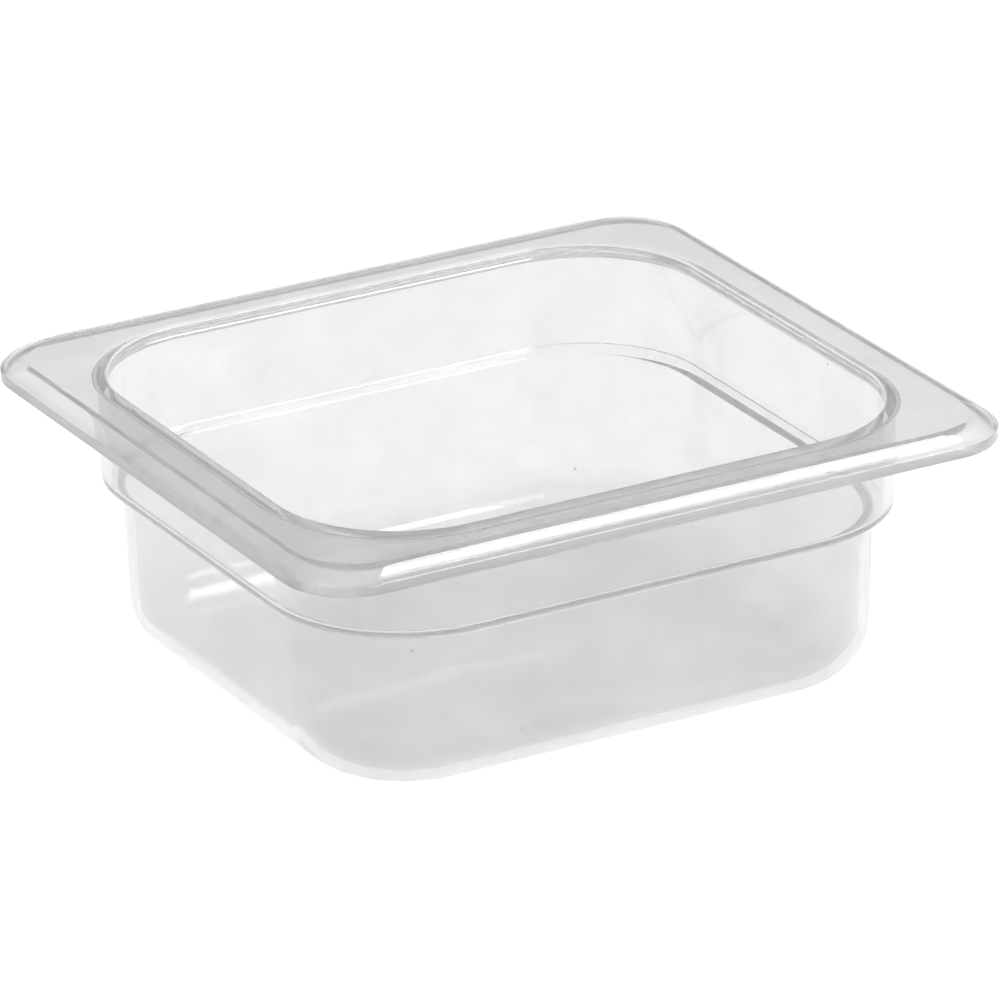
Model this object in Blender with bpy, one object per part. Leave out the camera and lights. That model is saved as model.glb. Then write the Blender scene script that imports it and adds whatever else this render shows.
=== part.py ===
"""A sixth-size gastronorm food pan, 65 mm deep, injection moulded in one piece from clear polycarbonate.

Metres, +Z up. The origin is the middle of the pan's underside, with the longer side along X.
One wall of even thickness is bent along a single section: floor, lower wall, stacking shoulder, upper
wall, flange and turned-down lip. Every station of that section is a rounded rectangle around the pan.
"""

import math

import bmesh
import bpy
from mathutils import Vector

# Overall size over the lip, and the height from the shelf to the top of the flange
LENGTH = 0.176
WIDTH = 0.162
HEIGHT = 0.065

# Wall, and the corner radii in plan that an outline would have out at the lip's edge
WALL = 0.0024
LIP_CORNER = 0.016
WALL_CORNER = 0.044
LEDGE_CORNER = 0.048
FLOOR_CORNER = 0.0445

# Lip: how far it drops below the flange, how far it slopes out, its cut edge and its bend
LIP_DROP = 0.0028
LIP_SLOPE_OUT = 0.0033
LIP_EDGE = 0.0026
LIP_LAND = 0.0006
LIP_BEND = 0.0085
EDGE_ROUND = 0.0004

# Upper wall: insets of its outer face below the flange and above the shoulder
UPPER_INSET = 0.0120
SHOULDER_INSET = 0.0122
MOUTH_ROUND = 0.0010
FLANGE_FILLET = 0.0015

# Stacking shoulder: height of its outer edge and of the ledge inside, their fall, and their roundings
SHOULDER_HEIGHT = 0.0404
LEDGE_HEIGHT = 0.0413
SHOULDER_FALL = 0.0014
SHOULDER_ROUND = 0.0013
SHOULDER_FILLET = 0.0008

# Lower wall: insets of its outer face under the shoulder and where it would meet the floor
LOWER_INSET = 0.0153
FLOOR_INSET = 0.0179
FLOOR_ROUND = 0.013

# Shallow round recess around the moulding gate, in the middle of the underside
GATE_RADIUS = 0.0155
GATE_DEPTH = 0.0004

# How finely the bends are cut: in plan, round a large bend and round a small one
CORNER_STEPS = 8
LARGE_BEND = 0.003
LARGE_STEP = math.radians(15)
SMALL_STEP = math.radians(24)

# Where two faces meet more sharply than this, the shading shows an edge
SHARP_ANGLE = math.radians(30)


def clear_scene():
    for obj in list(bpy.data.objects):
        bpy.data.objects.remove(obj, do_unlink=True)


def clear_polycarbonate():
    """Water-clear, glossy and very slightly grey."""
    material = bpy.data.materials.new("clear_polycarbonate")
    material.use_nodes = True
    shader = material.node_tree.nodes["Principled BSDF"]
    shader.inputs["Base Color"].default_value = (0.93, 0.935, 0.94, 1.0)
    shader.inputs["Roughness"].default_value = 0.06
    shader.inputs["Metallic"].default_value = 0.0
    shader.inputs["IOR"].default_value = 1.585
    shader.inputs["Transmission Weight"].default_value = 1.0
    return material


def outer_corners():
    """Corners of the section from under the floor, up the outside, to the lip's cut edge.

    Each is its inset, its height, the radius of its bend and its corner radius in plan.
    """
    flange_under = HEIGHT - WALL
    edge_low = HEIGHT - LIP_DROP - LIP_EDGE
    slope = LIP_DROP / LIP_SLOPE_OUT
    under_bend = LIP_LAND + (flange_under - edge_low) / slope
    return [
        (FLOOR_INSET, 0.0, FLOOR_ROUND, FLOOR_CORNER),
        (LOWER_INSET, SHOULDER_HEIGHT - SHOULDER_FALL, SHOULDER_FILLET, LEDGE_CORNER),
        (SHOULDER_INSET, SHOULDER_HEIGHT, SHOULDER_ROUND, WALL_CORNER),
        (UPPER_INSET, flange_under, FLANGE_FILLET, WALL_CORNER),
        (under_bend, flange_under, LIP_BEND - WALL, LIP_CORNER),
        (LIP_LAND, edge_low, 0.0, LIP_CORNER),
        (0.0, edge_low, EDGE_ROUND, LIP_CORNER),
        (0.0, HEIGHT - LIP_DROP, EDGE_ROUND, LIP_CORNER),
    ]


def inner_corners():
    """Corners of the section from the top of the lip, over the flange and down the inside to the floor."""
    return [
        (LIP_SLOPE_OUT, HEIGHT, LIP_BEND, LIP_CORNER),
        (UPPER_INSET + WALL, HEIGHT, MOUTH_ROUND, WALL_CORNER),
        (SHOULDER_INSET + WALL, LEDGE_HEIGHT, SHOULDER_FILLET, WALL_CORNER),
        (LOWER_INSET + WALL, LEDGE_HEIGHT - SHOULDER_FALL, SHOULDER_ROUND, LEDGE_CORNER),
        (FLOOR_INSET + WALL, WALL, FLOOR_ROUND - WALL, FLOOR_CORNER),
    ]


def bend(before, corner, after, radius):
    """The points of a round bend of this radius where two straight stretches of the section meet."""
    if radius == 0.0:
        return [corner]
    to_before = (before - corner).normalized()
    to_after = (after - corner).normalized()
    half = to_before.angle(to_after) / 2
    turn = math.pi - 2 * half
    centre = corner + (to_before + to_after).normalized() * (radius / math.sin(half))
    start = corner + to_before * (radius / math.tan(half)) - centre
    way = 1 if to_before.cross(to_after) < 0 else -1
    steps = max(2, math.ceil(turn / (LARGE_STEP if radius > LARGE_BEND else SMALL_STEP)))
    points = []
    for step in range(steps + 1):
        angle = way * turn * step / steps
        cos, sin = math.cos(angle), math.sin(angle)
        points.append(centre + Vector((start.x * cos - start.y * sin, start.x * sin + start.y * cos)))
    return points


def section():
    """Stations of the section as (inset, height, plan corner), from the underside to the floor inside."""
    corners = outer_corners() + inner_corners()
    places = [Vector(corner[:2]) for corner in corners]
    places.insert(0, Vector((FLOOR_CORNER, 0.0)))
    places.append(Vector((FLOOR_CORNER, WALL)))
    stations = []
    for index, corner in enumerate(corners):
        before, place, after = places[index : index + 3]
        for point in bend(before, place, after, corner[2]):
            stations.append((point.x, point.y, corner[3]))
    return stations


def outline(inset, height, plan_corner):
    """Points of the rounded rectangle at this station, anticlockwise from above."""
    radius = plan_corner - inset
    points = []
    for corner in range(4):
        x_side = 1 if corner in (0, 3) else -1
        y_side = 1 if corner in (0, 1) else -1
        centre_x = x_side * (LENGTH / 2 - inset - radius)
        centre_y = y_side * (WIDTH / 2 - inset - radius)
        for step in range(CORNER_STEPS + 1):
            angle = math.pi / 2 * (corner + step / CORNER_STEPS)
            points.append((centre_x + radius * math.cos(angle), centre_y + radius * math.sin(angle), height))
    return points


def gate_circle(height):
    """Points of the gate recess, as many as an outline has and in step with them."""
    count = 4 * (CORNER_STEPS + 1)
    points = []
    for index in range(count):
        angle = 2 * math.pi * (index + 0.5) / count
        points.append((GATE_RADIUS * math.cos(angle), GATE_RADIUS * math.sin(angle), height))
    return points


def first_loop(mesh, points, place):
    """The open loop that the wall is extruded from. Each corner keeps its place around the pan."""
    corners = [mesh.verts.new(point) for point in points]
    for index, corner in enumerate(corners):
        corner[place] = index
    return [mesh.edges.new((corner, corners[index - 1])) for index, corner in enumerate(corners)]


def extrude_to(mesh, loop, points, place):
    """Extrudes the open loop to the next station, and returns the new open loop."""
    grown = bmesh.ops.extrude_edge_only(mesh, edges=loop)["geom"]
    corners = {item for item in grown if isinstance(item, bmesh.types.BMVert)}
    for corner in corners:
        corner.co = points[corner[place]]
    edges = [item for item in grown if isinstance(item, bmesh.types.BMEdge)]
    return [edge for edge in edges if corners.issuperset(edge.verts)]


def build_pan():
    mesh = bmesh.new()
    place = mesh.verts.layers.int.new("place")
    loop = first_loop(mesh, gate_circle(GATE_DEPTH), place)
    bmesh.ops.contextual_create(mesh, geom=loop)
    loop = extrude_to(mesh, loop, gate_circle(0.0), place)
    for inset, height, plan_corner in section():
        loop = extrude_to(mesh, loop, outline(inset, height, plan_corner), place)
    bmesh.ops.contextual_create(mesh, geom=loop)
    bmesh.ops.recalc_face_normals(mesh, faces=mesh.faces)
    mesh.verts.layers.int.remove(place)

    data = bpy.data.meshes.new("pan")
    mesh.to_mesh(data)
    mesh.free()
    data.materials.append(clear_polycarbonate())
    data.shade_smooth()
    data.set_sharp_from_angle(angle=SHARP_ANGLE)
    pan = bpy.data.objects.new("pan", data)
    bpy.context.scene.collection.objects.link(pan)


clear_scene()
build_pan()
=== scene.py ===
import math

import bmesh
import bpy
from mathutils import Matrix, Vector


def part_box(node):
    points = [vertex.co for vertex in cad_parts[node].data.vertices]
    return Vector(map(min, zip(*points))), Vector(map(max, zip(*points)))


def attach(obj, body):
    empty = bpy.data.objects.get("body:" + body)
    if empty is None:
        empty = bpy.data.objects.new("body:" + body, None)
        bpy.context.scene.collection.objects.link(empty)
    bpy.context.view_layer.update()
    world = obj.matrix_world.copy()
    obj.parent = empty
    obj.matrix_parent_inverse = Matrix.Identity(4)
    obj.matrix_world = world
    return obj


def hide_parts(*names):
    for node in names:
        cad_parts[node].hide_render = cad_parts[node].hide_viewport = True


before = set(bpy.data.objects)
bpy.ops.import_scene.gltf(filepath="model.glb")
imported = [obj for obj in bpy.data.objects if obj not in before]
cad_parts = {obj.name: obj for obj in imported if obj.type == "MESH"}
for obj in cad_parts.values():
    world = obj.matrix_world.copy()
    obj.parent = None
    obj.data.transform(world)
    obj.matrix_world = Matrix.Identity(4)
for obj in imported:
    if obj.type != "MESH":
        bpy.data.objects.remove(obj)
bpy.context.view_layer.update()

# Pan -----------------------------------------------------------------------------------------
# A sixth-size food pan, 65 mm deep, injection moulded in one shot from clear polycarbonate. One
# wall runs from the floor up past a stacking shoulder, over a flat flange and down into a lip.
# The mould is polished, so the pan is glass-clear inside and out, and it picks up fine scuffs.

low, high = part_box("pan")
LENGTH = high.x - low.x
WIDTH = high.y - low.y
TOP = high.z
WALL = 0.0024

# Corner radii in plan that the outlines would have out at the lip's edge
LIP_CORNER = 0.016
WALL_CORNER = 0.044
LEDGE_CORNER = 0.048
FLOOR_CORNER = 0.0445
CORNER_CUTS = 28

# Lip: its cut edge, its slope, and the two corners of its underside
LIP_EDGE = 0.0026
LIP_DROP = 0.0028
LIP_SLOPE = 0.0033
LIP_LAND = 0.0006
EDGE_LOW = TOP - LIP_DROP - LIP_EDGE
FLANGE_UNDER = TOP - WALL
UNDER_BEND = LIP_LAND + (FLANGE_UNDER - EDGE_LOW) * LIP_SLOPE / LIP_DROP
FLANGE_MIDDLE = 0.007

# Wall: insets of its outer face from the lip's outline, and the two faces of the sloping shoulder
UPPER_WALL = 0.0120
SHOULDER_OUT = 0.0122
SHOULDER_IN = 0.0153
FLOOR_EDGE = 0.0179
SHOULDER = 0.0404
LEDGE = 0.0413
SHOULDER_FALL = 0.0014

# Each bend of the section as (inset, height, plan corner, radius, cuts). The flange's flat middle has none.
UNDERSIDE = [
    (0.0, EDGE_LOW, LIP_CORNER, 0.0004, 3),
    (LIP_LAND, EDGE_LOW, LIP_CORNER, 0.0002, 2),
    (UNDER_BEND, FLANGE_UNDER, LIP_CORNER, 0.0061, 10),
    (FLANGE_MIDDLE, FLANGE_UNDER, WALL_CORNER, 0.0, 0),
    (UPPER_WALL, FLANGE_UNDER, WALL_CORNER, 0.0015, 6),
    (SHOULDER_OUT, SHOULDER, WALL_CORNER, 0.0013, 8),
    (SHOULDER_IN, SHOULDER - SHOULDER_FALL, LEDGE_CORNER, 0.0008, 6),
    (FLOOR_EDGE, 0.0, FLOOR_CORNER, 0.013, 16),
]
INSIDE = [
    (0.0, TOP - LIP_DROP, LIP_CORNER, 0.0004, 3),
    (LIP_SLOPE, TOP, LIP_CORNER, 0.0085, 10),
    (FLANGE_MIDDLE, TOP, WALL_CORNER, 0.0, 0),
    (UPPER_WALL + WALL, TOP, WALL_CORNER, 0.001, 6),
    (SHOULDER_OUT + WALL, LEDGE, WALL_CORNER, 0.0008, 6),
    (SHOULDER_IN + WALL, LEDGE - SHOULDER_FALL, LEDGE_CORNER, 0.0013, 8),
    (FLOOR_EDGE + WALL, WALL, FLOOR_CORNER, 0.0106, 16),
]

# How near a corner of the mesh has to be to a bend's height and inset to count as on it
HEIGHT_SLACK = 2e-5
INSET_SLACK = 1e-4
SHARP_ANGLE = math.radians(30)

# Shallow round recess in the middle of the underside, where the resin came in
GATE_RADIUS = 0.0155
GATE_DEPTH = 0.0003
GATE_SLOPE = 0.0012
GATE_CUTS = 72
FLOOR_MARGIN = 0.034


def pick(kind, wanted):
    """Selects the pan's vertices, edges or faces that a test picks, and nothing else."""
    bpy.ops.mesh.select_mode(type=kind)
    bpy.ops.mesh.select_all(action="DESELECT")
    mesh = bmesh.from_edit_mesh(pan.data)
    for item in {"VERT": mesh.verts, "EDGE": mesh.edges, "FACE": mesh.faces}[kind]:
        if wanted(item):
            item.select_set(True)
    mesh.select_flush_mode()
    bmesh.update_edit_mesh(pan.data)


def closes(face, way):
    """True for the many-sided face that closes the pan's inside (way 1) or its underside (way -1)."""
    return len(face.verts) > CORNER_CUTS and face.normal.z * way > 0


def step_in(way, inset, rise):
    """Insets the closing face and moves it up or down, which adds one straight stretch of the section."""
    pick("FACE", lambda face: closes(face, way))
    bpy.ops.mesh.inset(thickness=inset, depth=rise * way, use_even_offset=True)


def corner_centre(corner):
    """Centre of the corner arcs that lie this far in from the outline's sides."""
    return Vector((LENGTH / 2 - corner, WIDTH / 2 - corner))


def turn_corners(way, inset, corner, new_corner):
    """Gives the closing face's four corner arcs the centre and the radius of another plan corner."""
    scale = (new_corner - inset) / (corner - inset)
    centre = corner_centre(corner)
    shift = corner_centre(new_corner) - centre
    for x_side, y_side in ((1, 1), (-1, 1), (-1, -1), (1, -1)):

        def in_corner(vert):
            here = vert.co.x * x_side > 0 and vert.co.y * y_side > 0
            return here and any(closes(face, way) for face in vert.link_faces)

        pick("VERT", in_corner)
        pivot = (centre.x * x_side, centre.y * y_side, 0)
        bpy.ops.transform.resize(value=(scale, scale, 1), center_override=pivot)
        bpy.ops.transform.translate(value=(shift.x * x_side, shift.y * y_side, 0))


def inset_of(point, corner):
    """How far a point lies inside the outline that has this corner radius."""
    past = Vector((abs(point.x), abs(point.y))) - corner_centre(corner)
    if min(past) > 0:
        return corner - past.length
    return corner - max(past)


def round_bend(before, bend, after):
    """Bevels the sharp loop at one bend of the section to its radius."""
    inset, height, corner, radius, cuts = bend
    turn = (Vector(bend[:2]) - Vector(before[:2])).angle(Vector(after[:2]) - Vector(bend[:2]))

    def on_bend(vert):
        level = abs(vert.co.z - height) < HEIGHT_SLACK
        return level and abs(inset_of(vert.co, corner) - inset) < INSET_SLACK

    pick("EDGE", lambda edge: all(on_bend(vert) for vert in edge.verts))
    bpy.ops.mesh.bevel(offset=radius * math.tan(turn / 2), offset_type="OFFSET", segments=cuts)


bpy.ops.object.select_all(action="DESELECT")
bpy.ops.mesh.primitive_plane_add(size=1, location=(0, 0, EDGE_LOW))
pan = bpy.context.object
pan.name = "food_pan"
pan.data.name = "food_pan"
pan.scale = (LENGTH, WIDTH, 1)
bpy.ops.object.transform_apply(location=True, rotation=True, scale=True)

bpy.ops.object.mode_set(mode="EDIT")
bpy.ops.mesh.select_all(action="SELECT")
bpy.ops.mesh.bevel(affect="VERTICES", offset=LIP_CORNER, segments=CORNER_CUTS)
bpy.ops.mesh.select_all(action="SELECT")
bpy.ops.mesh.extrude_region_move(TRANSFORM_OT_translate={"value": (0, 0, LIP_EDGE)})
for way, bends in ((1, INSIDE), (-1, UNDERSIDE)):
    for here, there in zip(bends, bends[1:]):
        step_in(way, there[0] - here[0], there[1] - here[1])
        if there[2] != here[2]:
            turn_corners(way, there[0], here[2], there[2])

step_in(1, FLOOR_MARGIN - FLOOR_EDGE - WALL, 0)
step_in(-1, FLOOR_MARGIN - FLOOR_EDGE, 0)
section = UNDERSIDE[::-1] + INSIDE
section.insert(0, (FLOOR_MARGIN, 0.0))
section.append((FLOOR_MARGIN, WALL))
for before, bend, after in zip(section, section[1:], section[2:]):
    if bend[-1] > 0:
        round_bend(before, bend, after)
bpy.ops.object.mode_set(mode="OBJECT")

bpy.ops.mesh.primitive_cone_add(
    vertices=GATE_CUTS,
    radius1=GATE_RADIUS + GATE_SLOPE,
    radius2=GATE_RADIUS - GATE_SLOPE,
    depth=2 * GATE_DEPTH,
)
gate_cutter = bpy.context.object
cut = pan.modifiers.new("gate_recess", "BOOLEAN")
cut.object = gate_cutter
bpy.context.view_layer.objects.active = pan
bpy.ops.object.modifier_apply(modifier=cut.name)
bpy.data.objects.remove(gate_cutter)
pan.select_set(True)
bpy.ops.object.shade_smooth_by_angle(angle=SHARP_ANGLE)
smoothing = pan.modifiers.new("flat_faces_stay_flat", "WEIGHTED_NORMAL")
smoothing.keep_sharp = True
bpy.ops.object.modifier_apply(modifier=smoothing.name)

# Clear polycarbonate: grey by its thickness, with clouds, flow ripples, scuffs, hairlines and a few specks,
# and with painted shade darkening the lip's cut edge and the bottom rounding
clear_plastic = bpy.data.materials.new("clear_polycarbonate")
clear_plastic.use_nodes = True
nodes = clear_plastic.node_tree.nodes
links = clear_plastic.node_tree.links
shader = nodes["Principled BSDF"]
shader.inputs["IOR"].default_value = 1.585
shader.inputs["Transmission Weight"].default_value = 0.86
place = nodes.new("ShaderNodeTexCoord")


def pattern(name, stretch, kind="ShaderNodeTexNoise", **sizes):
    """A texture on the pan's own place, stretched by a Mapping, with its named values set."""
    mapping = nodes.new("ShaderNodeMapping")
    mapping.inputs["Scale"].default_value = stretch
    texture = nodes.new(kind)
    texture.name = name
    for socket, value in sizes.items():
        texture.inputs[socket].default_value = value
    links.new(place.outputs["Object"], mapping.inputs["Vector"])
    links.new(mapping.outputs["Vector"], texture.inputs["Vector"])
    return texture


def between(source, low_in, high_in, low_out, high_out):
    """Brings a texture's value from one range to another."""
    remap = nodes.new("ShaderNodeMapRange")
    ends = {"From Min": low_in, "From Max": high_in, "To Min": low_out, "To Max": high_out}
    for socket, value in ends.items():
        remap.inputs[socket].default_value = value
    links.new(source, remap.inputs["Value"])
    return remap.outputs["Result"]


def combine(how, first, second):
    """Joins two values by a Math node."""
    maths = nodes.new("ShaderNodeMath")
    maths.operation = how
    links.new(first, maths.inputs[0])
    links.new(second, maths.inputs[1])
    return maths.outputs["Value"]


clouds = pattern("clouds", (1, 1, 1), Scale=55, Detail=4, Roughness=0.6)
mist = pattern("mist", (1, 1, 1), Scale=260, Detail=3, Roughness=0.6)
flow = pattern("flow_ripples", (1, 1, 0.25), Scale=30, Detail=1)
scuffs = pattern("scuffs", (1, 1, 1), Scale=900, Detail=2)
hairlines = pattern("hairlines", (1, 0.04, 0.5), Scale=900, Detail=1)
specks = pattern("specks", (1, 1, 1), "ShaderNodeTexVoronoi", Scale=55)

tone_and_painted_shade = combine(
    "MULTIPLY",
    between(clouds.outputs["Fac"], 0.3, 0.7, 0.83, 0.91),
    between(mist.outputs["Fac"], 0.3, 0.7, 0.97, 1.0),
)
# Painted shade: the base colour is darker along the lip's cut edge and towards the bottom rounding,
# standing in for the dark that the light leaves there
EDGE_SHADE_BAND = (0.0016, 0.0008)
BOTTOM_SHADE_BAND = (0.001, 0.014)
spot = nodes.new("ShaderNodeSeparateXYZ")
links.new(place.outputs["Object"], spot.inputs["Vector"])
reach = []
for axis, half in (("X", LENGTH / 2), ("Y", WIDTH / 2)):
    away = nodes.new("ShaderNodeMath")
    away.operation = "ABSOLUTE"
    links.new(spot.outputs[axis], away.inputs[0])
    reach.append(between(away.outputs["Value"], half - EDGE_SHADE_BAND[0], half - EDGE_SHADE_BAND[1], 0.0, 1.0))
rim_shade = combine("MAXIMUM", *reach)
# Painted shade towards the bottom rounding, on top of the random clouds of tone
tone_and_painted_shade = combine("MULTIPLY", tone_and_painted_shade, between(spot.outputs["Z"], *BOTTOM_SHADE_BAND, 0.88, 1.0))
# Painted shade along the lip's cut edge
tone_and_painted_shade = combine("MULTIPLY", tone_and_painted_shade, between(rim_shade, 0.0, 1.0, 1.0, 0.86))
tone_and_painted_shade = combine("MULTIPLY", tone_and_painted_shade, between(specks.outputs["Distance"], 0.012, 0.026, 0.5, 1.0))
tint = nodes.new("ShaderNodeCombineColor")
for channel in ("Red", "Green", "Blue"):
    links.new(tone_and_painted_shade, tint.inputs[channel])
links.new(tint.outputs["Color"], shader.inputs["Base Color"])

worn = between(hairlines.outputs["Fac"], 0.68, 0.74, 0.0, 0.12)
polish = combine("ADD", between(scuffs.outputs["Fac"], 0.45, 0.75, 0.03, 0.10), worn)
links.new(polish, shader.inputs["Roughness"])

ripples = nodes.new("ShaderNodeBump")
ripples.inputs["Distance"].default_value = 0.0002
ripples.inputs["Strength"].default_value = 0.5
links.new(flow.outputs["Fac"], ripples.inputs["Height"])
scratches = nodes.new("ShaderNodeBump")
scratches.inputs["Distance"].default_value = 0.00003
scratches.inputs["Strength"].default_value = 0.5
links.new(worn, scratches.inputs["Height"])
links.new(ripples.outputs["Normal"], scratches.inputs["Normal"])
links.new(scratches.outputs["Normal"], shader.inputs["Normal"])

path = nodes.new("ShaderNodeLightPath")
clear_way = nodes.new("ShaderNodeBsdfTransparent")
clear_way.inputs["Color"].default_value = (1, 1, 1, 1)
for_tables = nodes.new("ShaderNodeMixShader")
for_lamps = nodes.new("ShaderNodeMixShader")
links.new(path.outputs["Is Diffuse Ray"], for_tables.inputs["Fac"])
links.new(shader.outputs["BSDF"], for_tables.inputs[1])
links.new(clear_way.outputs["BSDF"], for_tables.inputs[2])
links.new(path.outputs["Is Shadow Ray"], for_lamps.inputs["Fac"])
links.new(for_tables.outputs["Shader"], for_lamps.inputs[1])
links.new(clear_way.outputs["BSDF"], for_lamps.inputs[2])
links.new(for_lamps.outputs["Shader"], nodes["Material Output"].inputs["Surface"])
body = nodes.new("ShaderNodeVolumeAbsorption")
body.inputs["Color"].default_value = (0.5, 0.505, 0.51, 1)
body.inputs["Density"].default_value = 16
links.new(body.outputs["Volume"], nodes["Material Output"].inputs["Volume"])
pan.data.materials.clear()
pan.data.materials.append(clear_plastic)
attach(pan, "root")
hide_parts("pan")

# Studio --------------------------------------------------------------------------------------
# A wide white table that glows a little, under a sky that is white round the horizon, darker above
# it and lighter again overhead. Two soft boxes on the right make the long highlights.

TABLE_GAP = 0.0003
bpy.ops.object.select_all(action="DESELECT")
bpy.ops.mesh.primitive_plane_add(size=30, location=(0, 0, -TABLE_GAP))
table = bpy.context.object
table.name = "table"
white = bpy.data.materials.new("white_table")
white.use_nodes = True
paper = white.node_tree.nodes["Principled BSDF"]
paper.inputs["Base Color"].default_value = (0.9, 0.9, 0.9, 1)
paper.inputs["Roughness"].default_value = 0.9
paper.inputs["Emission Color"].default_value = (1, 1, 1, 1)
paper.inputs["Emission Strength"].default_value = 0.47
table.data.materials.append(white)

world = bpy.data.worlds.new("studio")
bpy.context.scene.world = world
world.use_nodes = True
sky = world.node_tree.nodes
sky_links = world.node_tree.links
direction = sky.new("ShaderNodeTexCoord")
split = sky.new("ShaderNodeSeparateXYZ")
fade = sky.new("ShaderNodeValToRGB")
fade.color_ramp.elements[0].position = 0.1
fade.color_ramp.elements[0].color = (1, 1, 1, 1)
fade.color_ramp.elements[1].position = 0.9
fade.color_ramp.elements[1].color = (0.75, 0.75, 0.75, 1)
for height, light in ((0.23, 0.3), (0.5, 0.34)):
    fade.color_ramp.elements.new(height).color = (light, light, light, 1)
sky["Background"].inputs["Strength"].default_value = 1.04
sky_links.new(direction.outputs["Generated"], split.inputs["Vector"])
sky_links.new(split.outputs["Z"], fade.inputs["Fac"])
sky_links.new(fade.outputs["Color"], sky["Background"].inputs["Color"])

SOFT_BOXES = [
    ("side_box", (0.85, 0.0, 1.65), 0.7, 0.4, 6),
    ("front_box", (0.85, -1.2, 1.22), 0.6, 0.35, 3),
]
for name, place_of_box, length, width, energy in SOFT_BOXES:
    bpy.ops.object.light_add(type="AREA", location=place_of_box)
    box = bpy.context.object
    box.name = name
    box.data.shape = "RECTANGLE"
    box.data.size = length
    box.data.size_y = width
    box.data.energy = energy
    box.rotation_euler = (Vector((0, 0, TOP / 2)) - box.location).to_track_quat("-Z", "Y").to_euler()

# Camera --------------------------------------------------------------------------------------
# A long lens, looking down a little from the front left, with a slight roll and shift and with
# everything in focus.

AZIMUTH = math.radians(-29.12)
ELEVATION = math.radians(22.62)
ROLL = math.radians(-0.92)
DISTANCE = 1.998
FOCAL = 322.8
SENSOR = 36

back = Vector((math.sin(AZIMUTH), -math.cos(AZIMUTH), math.tan(ELEVATION))).normalized()
across = Vector((0, 0, 1)).cross(back).normalized()
up = back.cross(across)
turned = Matrix((across, up, back)).transposed() @ Matrix.Rotation(ROLL, 3, "Z")
lens = bpy.data.cameras.new("camera")
lens.lens = FOCAL
lens.sensor_width = SENSOR
lens.shift_x = 0.00398
lens.shift_y = 0.00739
camera = bpy.data.objects.new("camera", lens)
camera.matrix_world = Matrix.Translation(Vector((0, 0, 0.035)) + back * DISTANCE) @ turned.to_4x4()
bpy.context.scene.collection.objects.link(camera)
bpy.context.scene.camera = camera
bpy.context.scene.view_settings.view_transform = "Standard"
tracing = bpy.context.scene.cycles
tracing.max_bounces = 32
tracing.transmission_bounces = 24
tracing.glossy_bounces = 16
